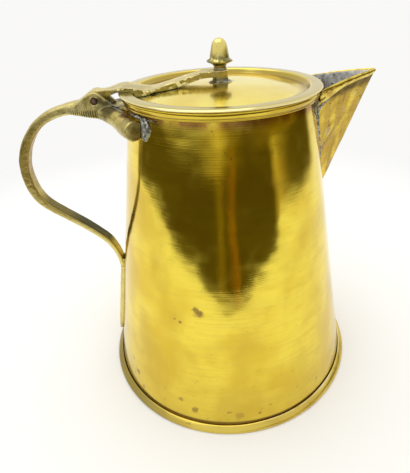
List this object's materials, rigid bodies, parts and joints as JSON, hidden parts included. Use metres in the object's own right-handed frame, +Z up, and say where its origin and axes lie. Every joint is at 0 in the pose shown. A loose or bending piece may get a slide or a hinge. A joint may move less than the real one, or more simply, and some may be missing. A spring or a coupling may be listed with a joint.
{
  "type": "lidded brass jug",
  "caption": "Tapered sheet-brass jug with a hinged domed lid, acorn finial, S-shaped strap handle and open beak spout.",
  "frame": {"origin": "centre of the base's underside, on the surface that the jug stands on", "axes": "+Z up along the body's axis, +X out through the spout, -X through the handle, +Y to the left seen from behind the handle"},
  "size_m": [0.2232, 0.19, 0.2299],
  "materials": {
    "brass_body": "worn polish",
    "brass_trim": "polished edges",
    "brass_cast": "aged, handled",
    "iron_pin": "rusted"
  },
  "bodies": {
    "jug": {"body_wall": "brass_body", "base_pan": "brass_body", "rim_collar": "brass_trim", "spout": "brass_body", "spout_hem_left": "brass_trim", "spout_hem_right": "brass_trim", "handle": "brass_cast", "hinge_pin": "iron_pin"},
    "lid": {"lid_plate": "brass_body", "hinge_strap": "brass_cast", "finial_foot": "brass_cast", "finial": "brass_cast", "finial_washer": "brass_trim"}
  },
  "joints": [
    {"name": "lid_hinge", "type": "hinge", "parent": "jug", "child": "lid", "pos_m": [-0.0736, 0, 0.201], "axis": [0, -1, 0], "range_deg": [0, 100]}
  ]
}
